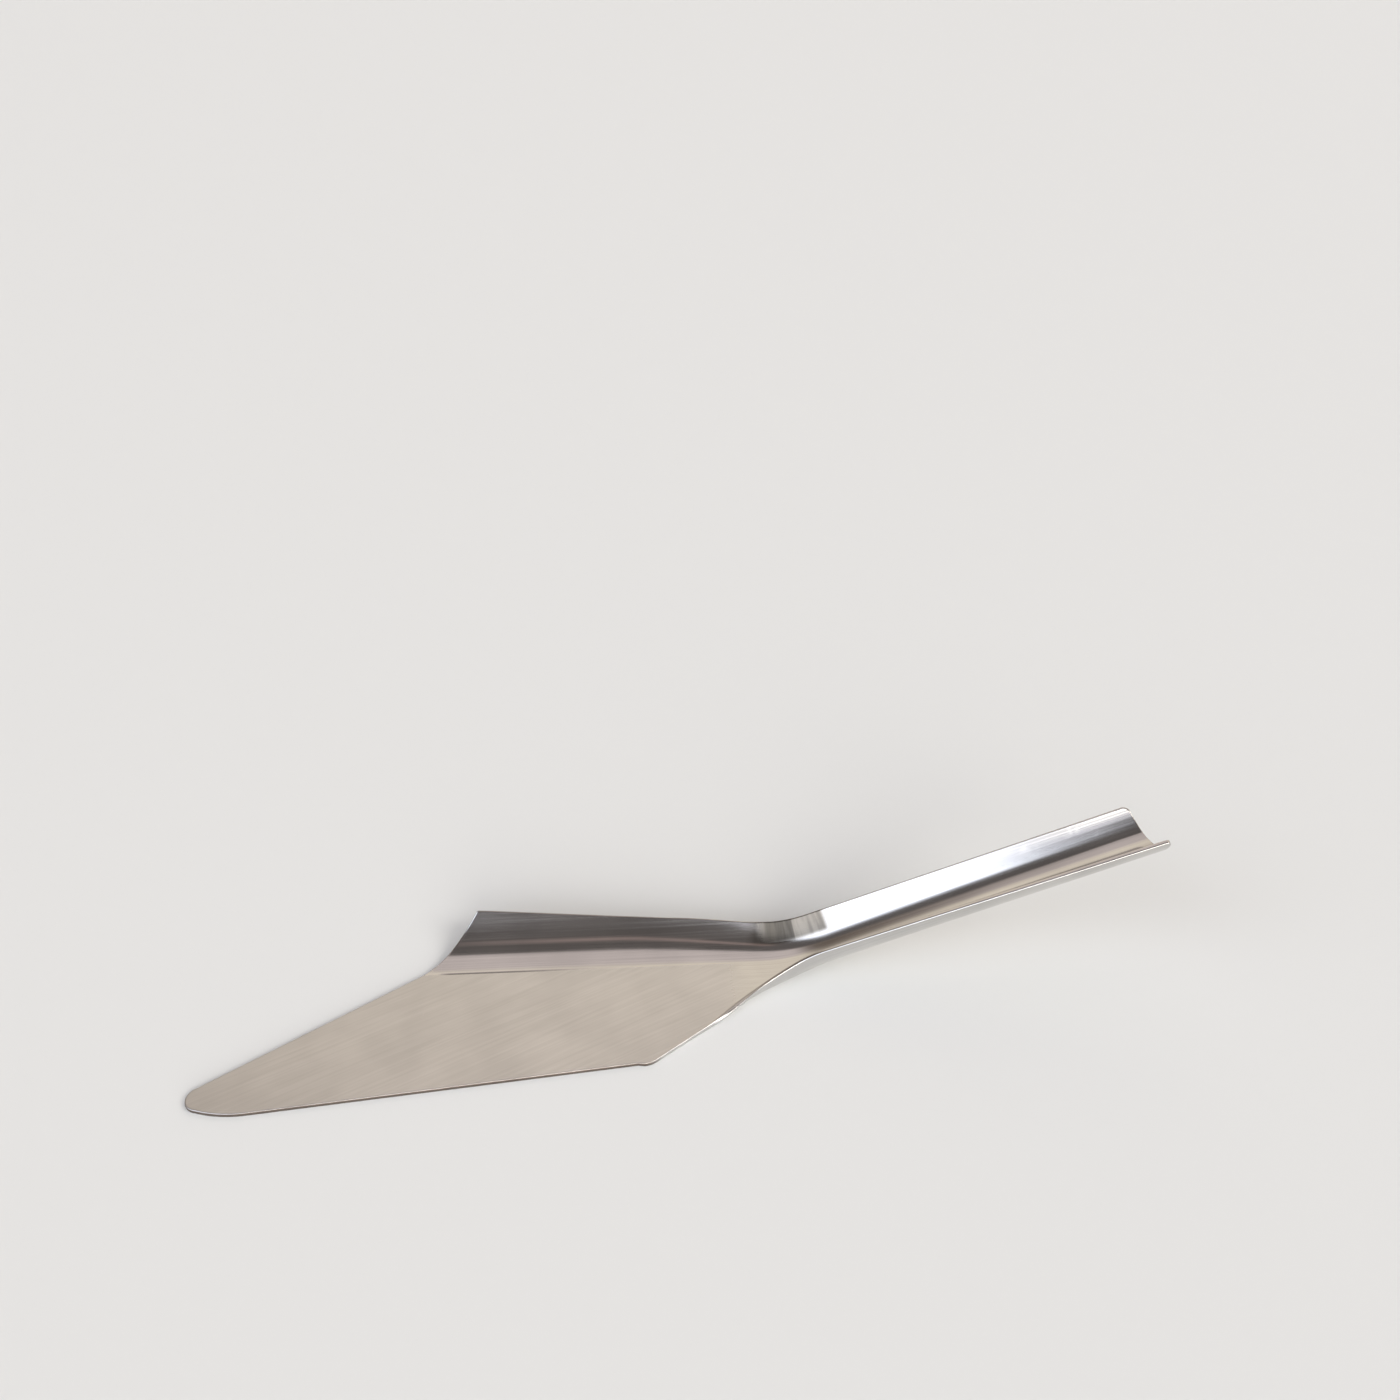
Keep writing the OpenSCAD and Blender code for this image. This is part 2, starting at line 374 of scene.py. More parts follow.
    def _colour(self, graph: Graph, marks: SteelMarks, grain: Socket, place: Feed) -> Socket:
        """Makes the finish's colour.

        Args:
            graph: The node tree.
            marks: Where each kind of steel lies.
            grain: The streaks, from 0 to 1.
            place: Where the finish is read.

        Returns:
            The colour.
        """
        cloud = graph.noise(place, 1 / (self.cloud_size * MM), self.cloud_detail)
        stretch = self._streaks(graph, place, self.stretch_size, 0.0)
        stretched = graph.ease(stretch, self.stretch_edge, *self.painted_streak_shade)
        shade = graph.math("MULTIPLY_ADD", grain, 2 * self.tone_swing, 1.0 - self.tone_swing)
        clouded = graph.ease(cloud, self.cloud_edge, *self.cloud_shade)
        shade = graph.math("MULTIPLY", shade, clouded)
        darkened = (
            # the neck's wall, darkened in streaks as painted shade
            (marks.drawn_and_painted_shade, stretched),
            # the patch at the neck's foot, darker still as painted shade
            (marks.neck_painted_shade, self.neck_shade_depth),
            # the crease at the guard's foot, darkened as painted shade
            (marks.crease, self.crease_painted_shade),
        )
        for mark, depth in darkened:
            shade = graph.math("MULTIPLY", shade, graph.mix(mark, 1.0, depth))
        # the neck's wall takes a beige painted reflection
        tone = graph.blend(marks.drawn_and_painted_shade, self.tone, self.painted_reflection_tone)
        # the blade's rim turns dark brown as painted shade
        tone = graph.blend(marks.rim_painted_shade, tone, self.rim_shade_tone)
        return graph.add("VectorMath", {0: tone, "Scale": shade}, operation="SCALE").outputs[0]

    def make(self, name: str) -> bpy.types.Material:
        """Makes a new material with this finish.

        Args:
            name: The material's name.

        Returns:
            The material.
        """
        steel = bpy.data.materials.new(name)
        steel.use_nodes = True
        graph = Graph(steel.node_tree)
        shader = steel.node_tree.nodes["Principled BSDF"]
        shader.inputs["Metallic"].default_value = 1.0
        place = graph.add("UVMap", uv_map=Layer.BLANK.value).outputs[0]
        marks = self._marks(graph, place)
        rub = self._streaks(graph, place, self.rub_size, self.rub_angle)
        brush = self._streaks(graph, place, self.brush_size, 0.0)
        grain = graph.mix(marks.blade, brush, rub)
        bump = graph.add("Bump", {"Height": grain, "Distance": self.scratch_depth * MM})
        bump.inputs["Strength"].default_value = 1.0
        graph.feed(shader.inputs["Base Color"], self._colour(graph, marks, grain, place))
        graph.feed(shader.inputs["Roughness"], self._roughness(graph, marks, grain))
        graph.feed(shader.inputs["Normal"], bump.outputs[0])
        return steel


# ---------------------------------------------------------------- the blank
@dataclass(frozen=True)
class Turn:
    """A rounded corner of the blank's lower outline.

    Attributes:
        corner: Where the two straight edges would meet, as (s, v).
        before: Angle of the edge before the corner, in degrees.
        after: Angle of the edge after it, in degrees.
        radius: Radius of the arc between them.
    """

    corner: tuple[float, float]
    before: float
    after: float
    radius: float

    @property
    def centre(self) -> np.ndarray:
        """Centre of the arc."""
        reach = self.radius / math.cos(math.radians((self.after - self.before) / 2))
        return np.array(self.corner) + reach * direction((self.before + self.after) / 2 + 90)

    @property
    def start(self) -> float:
        """Place along the fold line where the arc starts."""
        return self.centre[0] + self.radius * math.sin(math.radians(self.before))

    @property
    def end(self) -> float:
        """Place along the fold line where the arc ends."""
        return self.centre[0] + self.radius * math.sin(math.radians(self.after))

    def edge(self, s: np.ndarray) -> np.ndarray:
        """Follows the outline round the corner.

        Args:
            s: Places along the fold line.

        Returns:
            The outline's v at each of them.
        """
        before = self.corner[1] + math.tan(math.radians(self.before)) * (s - self.corner[0])
        after = self.corner[1] + math.tan(math.radians(self.after)) * (s - self.corner[0])
        inside = np.maximum(self.radius**2 - (s - self.centre[0]) ** 2, 0.0)
        arc = self.centre[1] - np.sqrt(inside)
        return np.where(s < self.start, before, np.where(s > self.end, after, arc))


@dataclass(frozen=True)
class Blank:
    """The flat blank and the way it is formed, in millimetres and degrees.

    s runs along the fold line, from the neck's middle towards the handle, and v
    across it, towards the guard.
    """

    sheet_t: float = 1.2
    # the blade's outline
    fold_len: float = 103.9
    blade_w: float = 35.2
    corner_back: float = 40.3
    back_edge_angle: float = 34.9
    front_edge_angle: float = 6.3
    heel_edge_angle: float = 38.7
    corner_r: float = 6.5
    toe_len: float = 7.5
    toe_angle: float = 18.0
    toe_r: float = 30.0
    tip_r: float = 4.0
    # the guard
    guard_strip_end: float = 20.8
    guard_strip_neck: float = 12.8
    guard_r_end: float = 17.2
    guard_r_neck: float = 16.6
    guard_slope: float = 50.0
    guard_cut_angle: float = 41.0
    guard_cut_run: float = 14.7
    guard_corner_softness: float = 0.5
    # the neck
    rise_angle: float = 22.3
    bend_len: float = 24.0
    change_before: float = 28.8
    change_after: float = 8.4
    tighten_before: float = 52.0
    tighten_after: float = 18.0
    heel_softness: float = 6.7
    heel_before: float = 32.0
    heel_after: float = 12.0
    heel_r: float = 2.4
    heel_curl: float = 1.6
    # the handle
    handle_len: float = 105.2
    channel_r_neck: float = 7.6
    channel_r_end: float = 9.2
    far_wall_slope: float = 57.0
    far_strip_neck: float = 12.2
    far_strip_end: float = 12.2
    near_strip_neck: float = 12.8
    near_strip_end: float = 12.2
    end_slant: float = 0.26
    end_hollow: float = 1.2
    end_corner_r: float = 2.0
    slant_len: float = 40.0
    # fineness of the forming
    levelling: float = 8.0
    least_roll: float = 0.01
    curl_steps: int = 16
    bend_steps: int = 96

    # ---- the blade's outline
    def _toe_triangle(self) -> tuple[np.ndarray, np.ndarray]:
        """Finds the toe, which cuts off the corner of the front and back edges.

        Returns:
            Its corner on the front edge and its corner on the back edge.
        """
        back = math.radians(self.back_edge_angle)
        front = math.radians(self.front_edge_angle)
        toe = math.radians(self.toe_angle)
        fall = -self.blade_w + math.tan(front) * self.corner_back
        sharp_s = (fall - math.tan(back) * self.fold_len) / (math.tan(back) - math.tan(front))
        sharp = np.array([sharp_s, math.tan(back) * (sharp_s + self.fold_len)])
        full_len = self.toe_len + self.tip_r / math.tan((back + toe) / 2)
        share = full_len / math.sin(back - front)
        on_front = sharp + share * math.sin(back + toe) * direction(self.front_edge_angle)
        on_back = sharp + share * math.sin(toe + front) * direction(self.back_edge_angle)
        return on_front, on_back

    @property
    def tip_centre(self) -> np.ndarray:
        """Centre of the tip's arc."""
        half = math.radians((self.back_edge_angle + self.toe_angle) / 2)
        axis = (self.back_edge_angle - self.toe_angle) / 2
        return self._toe_triangle()[1] + self.tip_r / math.sin(half) * direction(axis)

    @property
    def tip_back_s(self) -> float:
        """Place along the fold line where the tip's arc meets the back edge."""
        return self.tip_centre[0] - self.tip_r * math.sin(math.radians(self.back_edge_angle))

    @property
    def tip_toe_s(self) -> float:
        """Place along the fold line where the tip's arc meets the toe."""
        return self.tip_centre[0] - self.tip_r * math.sin(math.radians(self.toe_angle))

    @property
    def toe_turn(self) -> Turn:
        """The turn from the toe to the front edge."""
        corner = tuple(self._toe_triangle()[0])
        return Turn(corner, -self.toe_angle, self.front_edge_angle, self.toe_r)

    @property
    def front_turn(self) -> Turn:
        """The turn from the front edge to the heel edge."""
        corner = (-self.corner_back, -self.blade_w)
        return Turn(corner, self.front_edge_angle, self.heel_edge_angle, self.corner_r)

    # ---- how far each change has gone
    def change(self, s: np.ndarray) -> np.ndarray:
        """Returns 0 where the section is the guard's, and 1 where it is the handle's."""
        return smooth_step((s + self.change_before) / (self.change_before + self.change_after))

    def tightening(self, s: np.ndarray) -> np.ndarray:
        """Returns 0 where the far side has the guard's radius, and 1 where the channel's."""
        return smooth_step((s + self.tighten_before) / (self.tighten_before + self.tighten_after))

    def heel_change(self, s: np.ndarray) -> np.ndarray:
        """Returns 0 where the near side is flat, and 1 where all of it is the near wall."""
        return smooth_step((s + self.heel_before) / (self.heel_before + self.heel_after))

    # ---- widths of the blank
    def near_wall(self, s: np.ndarray) -> np.ndarray:
        """Returns the width of the handle's near wall."""
        return mix(self.near_strip_neck, self.near_strip_end, s / self.handle_len)

    def far_strip(self, s: np.ndarray) -> np.ndarray:
        """Returns the width of the guard, and then of the handle's far wall."""
        guard = mix(self.guard_strip_neck, self.guard_strip_end, -s / self.fold_len)
        wall = mix(self.far_strip_neck, self.far_strip_end, s / self.handle_len)
        return mix(guard, wall, self.change(s))

    def near_strip(self, s: np.ndarray) -> np.ndarray:
        """Returns the width of the near side, from the heel edge to the near lip."""
        return soft_max(-self.front_turn.edge(s), self.near_wall(s), self.heel_softness)

    def cut_end(self, s: np.ndarray) -> np.ndarray:
        """Follows the guard's cut end.

        Args:
            s: Places along the fold line.

        Returns:
            Its height above the fold line at each of them.
        """
        run = s + self.fold_len
        slope = math.tan(math.radians(self.guard_cut_angle))
        top = self.far_strip(np.array(self.guard_cut_run - self.fold_len))
        curve = (top - slope * self.guard_cut_run) / self.guard_cut_run**2
        return slope * run + curve * run**2

    def corner_loss(self, s: np.ndarray) -> np.ndarray:
        """Returns the width that the rounded corners of the handle's end take off."""
        past = np.clip(s - self.handle_len + self.end_corner_r, 0.0, self.end_corner_r)
        return self.end_corner_r - np.sqrt(self.end_corner_r**2 - past**2)

    def far_edge(self, s: np.ndarray) -> np.ndarray:
        """Follows the outline on the guard's side: back edge, cut end, guard and far lip.

        Args:
            s: Places along the fold line.

        Returns:
            The outline's v at each of them.
        """
        back = math.tan(math.radians(self.back_edge_angle)) * (s + self.fold_len)
        cut = -soft_max(-self.cut_end(s), -self.far_strip(s), self.guard_corner_softness)
        past_cut = -self.fold_len + 2.0 * self.guard_cut_run
        strip = self.far_strip(s) - self.corner_loss(s)
        return np.where(s < -self.fold_len, back, np.where(s < past_cut, cut, strip))

    def near_edge(self, s: np.ndarray) -> np.ndarray:
        """Follows the outline on the blade's side: toe, front edge, heel edge and near lip.

        Args:
            s: Places along the fold line.

        Returns:
            The outline's v at each of them.
        """
        blade = np.where(s < self.toe_turn.end, self.toe_turn.edge(s), self.front_turn.edge(s))
        lip = self.corner_loss(s) - self.near_strip(s)
        return np.where(s < self.front_turn.start, blade, lip)

    # ---- the formed section
    def channel_r(self, s: np.ndarray) -> np.ndarray:
        """Returns the radius of the handle's channel."""
        return mix(self.channel_r_neck, self.channel_r_end, s / self.handle_len)

    def far_r(self, s: np.ndarray) -> np.ndarray:
        """Returns the radius that the far side is rolled to."""
        guard = mix(self.guard_r_neck, self.guard_r_end, -s / self.fold_len)
        return mix(guard, self.channel_r(s), self.tightening(s))

    def roll_width(self, s: np.ndarray) -> np.ndarray:
        """Returns the width of the near side's roll."""
        return np.maximum(self.heel_change(s) * self.near_wall(s), self.least_roll)

    def roll_start(self, s: np.ndarray) -> np.ndarray:
        """Returns the v at which the near side's roll starts."""
        return self.roll_width(s) - self.near_strip(s)

    def section_slope(self, s: np.ndarray, v: np.ndarray) -> np.ndarray:
        """Finds the slope of the formed section.

        The far side is rolled until it is as steep as it gets, and is flat above
        that. The near side is flat up to its roll.

        Args:
            s: Places along the fold line.
            v: Places across it.

        Returns:
            The slopes, in degrees.
        """
        limit = mix(self.guard_slope, self.far_wall_slope, self.change(s))
        rolled = np.degrees(np.clip(v, 0.0, None) / self.far_r(s))
        far = rolled / (1.0 + (rolled / limit) ** self.levelling) ** (1.0 / self.levelling)
        change = self.heel_change(s)
        share = np.clip((self.roll_start(s) - v) / self.roll_width(s), 0.0, None)
        radius = mix(self.heel_r, self.channel_r(s), change**2)
        curl = mix(self.heel_curl, 1.0, change)
        near = -np.degrees(self.roll_width(s) / radius) * share**curl
        return np.where(v > 0, far, near)

    def section_place(self, s: np.ndarray, v: np.ndarray) -> np.ndarray:
        """Places points on the formed section, by adding up its slopes.

        Args:
            s: Places along the fold line.
            v: Places across it.

        Returns:
            The places across and up from the fold line, on a new last axis.
        """
        start = np.where(v > 0, 0.0, np.maximum(v, self.roll_start(s)))
        run = v - start
        total = np.zeros(run.shape + (2,))
        for i in range(self.curl_steps):
            total += direction(self.section_slope(s, start + run * (i + 0.5) / self.curl_steps))
        return start[..., None] * direction(0.0) + total * run[..., None] / self.curl_steps

    def rise(self, s: np.ndarray) -> np.ndarray:
        """Returns the angle that the sheet rises at."""
        return self.rise_angle * smooth_step(s / self.bend_len + 0.5)

    def spine(self, s: np.ndarray) -> np.ndarray:
        """Follows the line that the sections stand on, by adding up its rises.

        Args:
            s: Places along the fold line.

        Returns:
            The places as (x, z), on a new last axis.
        """
        half = self.bend_len / 2
        bent = np.clip(s, -half, half) + half
        total = np.zeros(np.shape(s) + (2,))
        for i in range(self.bend_steps):
            total += direction(self.rise(bent * (i + 0.5) / self.bend_steps - half))
        run = total * bent[..., None] / self.bend_steps
        before = np.minimum(s + half, 0.0)[..., None] * direction(0.0)
        after = np.maximum(s - half, 0.0)[..., None] * direction(self.rise_angle)
        return np.array([-half, 0.0]) + before + run + after

    def formed(self, s: np.ndarray, v: np.ndarray, height: np.ndarray) -> np.ndarray:
        """Places points of the sheet in space.

        Args:
            s: Places along the fold line.
            v: Places across it.
            height: Heights above the sheet's middle surface.

        Returns:
            The points, in millimetres, on a new last axis.
        """
        slope = self.section_slope(s, v)
        across = self.section_place(s, v) + height[..., None] * direction(slope + 90)
        foot = self.spine(s) + across[..., 1:] * direction(self.rise(s) + 90)
        return np.stack([foot[..., 0], across[..., 0], foot[..., 1] + self.sheet_t / 2], axis=-1)

    def slanted(self, s: np.ndarray, v: np.ndarray) -> np.ndarray:
        """Returns s with the slant and hollow of the handle's end taken on near it."""
        reach = self.end_hollow * (v / self.near_strip_end) ** 2 - self.end_slant * v
        return s + reach * smooth_step((s - self.handle_len) / self.slant_len + 1.0)


# ---------------------------------------------------------------- the server
@dataclass
class CakeServer:
    """The one pressed piece: blade, guard, neck and handle. Sizes are in millimetres.

    Attributes:
        blank: The blank and its forming.
        finish: The steel.
        rim_depth: How far the rounding of the edges reaches in.
        rim_power: How square the rounding is: 2 gives a half circle.
        rim_rows: Places of the grid's rows in the rim, as shares of its depth.
        crease_depth: Depth of the crease at the guard's foot.
        crease_half: Half of its width.
        crease_rows: Places of the grid's rows beside it.
        crease_start: Where it gets its depth, counted from the guard's cut end.
        crease_fade: Where it loses it again.
        station_counts: Stations on each stretch, from the tip to the handle's end.
        near_rows: Rows between the rim and the crease on the near side.
        far_rows: The same, on the far side.
        row_fill: Most of a narrow side that the rim's and crease's own rows take.
        tip_blend: Length in which the stations turn from the tip's slant.
        tip_far_share: Share of a station's width that counts as far side at the tip.
        full_guard: Height of the far edge from which the far side is all above the fold.
    """

    blank: Blank = field(default_factory=Blank)
    finish: WornSteel = field(default_factory=WornSteel)
    rim_depth: float = 0.32
    rim_power: float = 2.8
    rim_rows: tuple[float, ...] = (0.0, 0.015, 0.06, 0.14, 0.25, 0.4, 0.6, 0.85, 1.2, 2.0)
    crease_depth: float = 0.06
    crease_half: float = 0.16
    crease_rows: tuple[float, ...] = (0.08, 0.16, 0.26, 0.42, 0.8)
    crease_start: Edge = (4.0, 6.0)
    crease_fade: Edge = (20.0, 65.0)
    station_counts: tuple[int, ...] = (14, 30, 24, 8, 26, 10, 5, 44, 34, 6)
    cut_corner_half: float = 0.6
    near_rows: int = 40
    far_rows: int = 26
    row_fill: float = 0.8
    tip_blend: float = 12.0
    tip_far_share: float = 0.4
    least_side: float = 1.0
    full_guard: float = 2.0

    def _stations(self) -> np.ndarray:
        """Places the stations, crowded at both ends and at the guard's corner.

        Returns:
            Their places along the fold line, counted from the tip's near end.
        """
        b = self.blank
        rim = np.array(self.rim_rows) * self.rim_depth
        handle_end = b.handle_len - rim[::-1]
        cut_corner = -b.fold_len + b.guard_cut_run
        stops = (
            b.toe_turn.end,
            -b.fold_len,
            cut_corner - self.cut_corner_half,
            cut_corner + self.cut_corner_half,
            b.front_turn.start,
            b.front_turn.end,
            -b.change_before,
            b.bend_len / 2,
            b.handle_len - b.end_corner_r,
            handle_end[0],
        )
        places = [b.tip_toe_s + rim]
        for stop, count in zip(stops, self.station_counts):
            places.append(steps(places[-1][-1], stop, count))
        return np.concatenate([*places, handle_end[1:]])

    def _columns(self, low: float, high: float) -> np.ndarray:
        """Places the rows across one station, crowded at both rims and the fold line.

        Args:
            low: The near edge's v.
            high: The far edge's v.

        Returns:
            The rows' v, the same number at every station.
        """
        rim = np.array(self.rim_rows) * self.rim_depth
        fold = np.array(self.crease_rows)
        far_w = high
        if high < self.full_guard:
            tip_w = np.array(self.tip_far_share * (high - low))
            far_w = float(soft_max(np.array(high), tip_w, 1.0))
            far_w = min(far_w, high - low - self.least_side)
        split = high - far_w
        own = rim[-1] + fold[-1]
        near_fit = min(1.0, self.row_fill * (split - low) / own)
        far_fit = min(1.0, self.row_fill * (high - split) / own)
        near = low + rim * near_fit
        near_fold = split - fold[::-1] * near_fit
        far_fold = split + fold * far_fit
        far = high - rim[::-1] * far_fit
        return np.concatenate(
            [
                near,
                steps(near[-1], near_fold[0], self.near_rows),
                near_fold[1:],
                [split],
                far_fold,
                steps(far_fold[-1], far[0], self.far_rows),
                far[1:],
            ]
        )

    def _grid(self) -> tuple[np.ndarray, np.ndarray]:
        """Places the grid's points on the blank, one row a station.

        Returns:
            Their s and their v.
        """
        b = self.blank
        arc = np.radians(np.array([270.0 - b.toe_angle, 90.0 + b.back_edge_angle]))
        chord = b.tip_centre + b.tip_r * np.stack([np.cos(arc), np.sin(arc)], axis=-1)
        all_s, all_v = [], []
        for place in self._stations():
            along = place - b.tip_toe_s
            straight = float(smooth_step(along / self.tip_blend))
            far_s = mix(b.tip_back_s + along, place, straight)
            low = float(b.near_edge(np.array(place)))
            high = float(b.far_edge(np.array(far_s)))
            v = self._columns(low, high)
            share = (v - low) / (high - low)
            s = mix(place, far_s, share)
            bow = (1.0 - straight) ** 2
            angle = mix(arc[0], arc[1], share)
            round_tip = b.tip_centre + b.tip_r * np.stack([np.cos(angle), np.sin(angle)], axis=-1)
            bulge = round_tip - mix(chord[0], chord[1], share[:, None])
            all_s.append(b.slanted(s + bow * bulge[:, 0], v))
            all_v.append(v + bow * bulge[:, 1])
        return np.array(all_s), np.array(all_v)

    def _rim_share(self, s: np.ndarray, v: np.ndarray) -> np.ndarray:
        """Finds how deep in the rounded rim each point of the grid lies.

        Args:
            s: The points' places along the fold line.
            v: Their places across it.

        Returns:
            1 on the outline, falling to 0 where the rim ends.
        """
        points = np.stack([s, v], axis=-1)
        ring = np.concatenate([points[0], points[1:, -1], points[-1, -2::-1], points[-2::-1, 0]])
        start, stop = ring[:-1], ring[1:]
        way = stop - start
        length = np.maximum((way**2).sum(-1), 1e-12)
        least = np.full(s.shape, np.inf)
        for a, w, n in zip(start, way, length):
            share = np.clip(((points - a) * w).sum(-1) / n, 0.0, 1.0)
            gap = points - a - share[..., None] * w
            least = np.minimum(least, (gap**2).sum(-1))
        return np.clip(1.0 - np.sqrt(least) / self.rim_depth, 0.0, 1.0)

    def _heights(
        self, s: np.ndarray, v: np.ndarray, rim: np.ndarray
    ) -> tuple[np.ndarray, np.ndarray]:
        """Finds the sheet's faces, with its rounded rim and the crease.

        Args:
            s: The points' places along the fold line.
            v: Their places across it.
            rim: How deep in the rim they lie.

        Returns:
            The heights of the upper and lower faces above the middle surface.
        """
        b = self.blank
        half = b.sheet_t / 2 * (1.0 - rim**self.rim_power) ** (1.0 / self.rim_power)
        run = s + b.fold_len
        depth = soft_rise(run, self.crease_start) * (1.0 - soft_rise(run, self.crease_fade))
        dent = self.crease_depth * depth * np.exp(-((v / self.crease_half) ** 2))
        return half - dent * (half / b.sheet_t * 2), -half

    @staticmethod
    def _shift(top: np.ndarray, under: np.ndarray) -> np.ndarray:
        """Finds the move that brings the sheet's middle over the CAD solid's.

        Args:
            top: The points of its upper face.
            under: The points of its lower face.

        Returns:
            The move, in millimetres. It leaves the heights as they are.
        """
        cad_low, cad_high = (np.array(c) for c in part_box(NODE))
        own = np.concatenate([top.reshape(-1, 3), under.reshape(-1, 3)])
        shift = (cad_low + cad_high) / 2 / MM - (own.min(0) + own.max(0)) / 2
        shift[2] = 0.0
        return shift

    @staticmethod
    def _add_grid(rows: int, columns: int) -> tuple[bpy.types.Object, np.ndarray, np.ndarray]:
        """Adds a flat grid for the upper face.

        Args:
            rows: Its points one way.
            columns: Its points the other way.

        Returns:
            The grid, with each vertex's row and column.
        """
        deselect_everything()
        bpy.ops.mesh.primitive_grid_add(
            x_subdivisions=rows - 1, y_subdivisions=columns - 1, size=2.0
        )
        sheet = bpy.context.active_object
        sheet.name = sheet.data.name = "server_sheet"
        co = np.empty(len(sheet.data.vertices) * 3)
        sheet.data.vertices.foreach_get("co", co)
        flat = co.reshape(-1, 3)[:, :2]
        place = np.rint((flat + 1.0) / 2.0 * (rows - 1, columns - 1)).astype(int)
        return sheet, place[:, 0], place[:, 1]

    @staticmethod
    def _map(sheet: bpy.types.Object, s: np.ndarray, v: np.ndarray) -> None:
        """Writes each vertex's place on the blank into the sheet's map.

        Args:
            sheet: The grid.
            s: Its vertices' places along the fold line.
            v: Their places across it.
        """
        uv = sheet.data.uv_layers.active or sheet.data.uv_layers.new(name=Layer.BLANK.value)
        uv.name = Layer.BLANK.value
        loops = np.empty(len(sheet.data.loops), dtype=np.int64)
        sheet.data.loops.foreach_get("vertex_index", loops)
        uv.data.foreach_set("uv", (np.stack([s, v], axis=-1)[loops] * MM).ravel())

    @staticmethod
    def _add_lower_face() -> None:
        """Doubles the grid, with the copy's normals turned down."""
        bpy.ops.object.mode_set(mode="EDIT")
        bpy.ops.mesh.select_all(action="SELECT")
        bpy.ops.mesh.duplicate()
        bpy.ops.mesh.flip_normals()
        bpy.ops.object.mode_set(mode="OBJECT")

    @staticmethod
    def _close() -> None:
        """Joins the two faces along the outline, and turns all faces outward."""
        bpy.ops.object.mode_set(mode="EDIT")
        bpy.ops.mesh.select_all(action="SELECT")
        bpy.ops.mesh.remove_doubles(threshold=1e-6)
        bpy.ops.mesh.normals_make_consistent(inside=False)
        bpy.ops.object.mode_set(mode="OBJECT")
        bpy.ops.object.shade_smooth()

    def build(self) -> bpy.types.Object:
        """Makes the sheet from a grid: placed on the blank, formed, doubled and closed.

        Returns:
            The finished object, at the origin.
        """
        s, v = self._grid()
        rim = self._rim_share(s, v)
        upper, lower = self._heights(s, v, rim)
        top = self.blank.formed(s, v, upper)
        under = self.blank.formed(s, v, lower)
        sheet, row, column = self._add_grid(*s.shape)
        self._map(sheet, s[row, column], v[row, column])
        self._add_lower_face()
        points = np.concatenate([top[row, column], under[row, column]])
        points += self._shift(top, under)
        sheet.data.vertices.foreach_set("co", (points * MM).ravel())
        layer = sheet.data.attributes.new(Layer.RIM.value, "FLOAT", "POINT")
        layer.data.foreach_set("value", np.tile(rim[row, column], 2))
        sheet.data.update()
        self._close()
        return sheet

    def dress(self, sheet: bpy.types.Object) -> None:
        """Gives the sheet its steel.

        Args:
            sheet: The finished sheet.
        """
        sheet.data.materials.clear()
        sheet.data.materials.append(self.finish.make("stainless"))

    def place(self) -> None:
        """Builds and dresses the sheet, and puts it in the CAD solid's stead."""
        sheet = self.build()
        self.dress(sheet)
        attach(sheet, "root")
        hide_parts(NODE)
        log.info("%s: %d faces", sheet.name, len(sheet.data.polygons))


# ---------------------------------------------------------------- the setting
@dataclass(frozen=True)
class View:
    """The photograph's camera, in millimetres and degrees."""

    place: Place = (-11.19, -275.11, 284.0)
    heading: float = 3.15
    pitch: float = 33.52
    lens: float = 36.0
    sensor: float = 36.0

    def set_up(self) -> None:
        """Adds the camera and makes it the scene's own."""
        data = bpy.data.cameras.new("view")
        data.lens = self.lens
        data.sensor_width = self.sensor
        data.clip_start = 0.01
        data.clip_end = 50.0
        camera = bpy.data.objects.new("view", data)
        bpy.context.scene.collection.objects.link(camera)
        camera.location = np.array(self.place) * MM
        turns = (math.radians(90 - self.pitch), 0.0, math.radians(-self.heading))
        camera.rotation_euler = turns
        bpy.context.scene.camera = camera


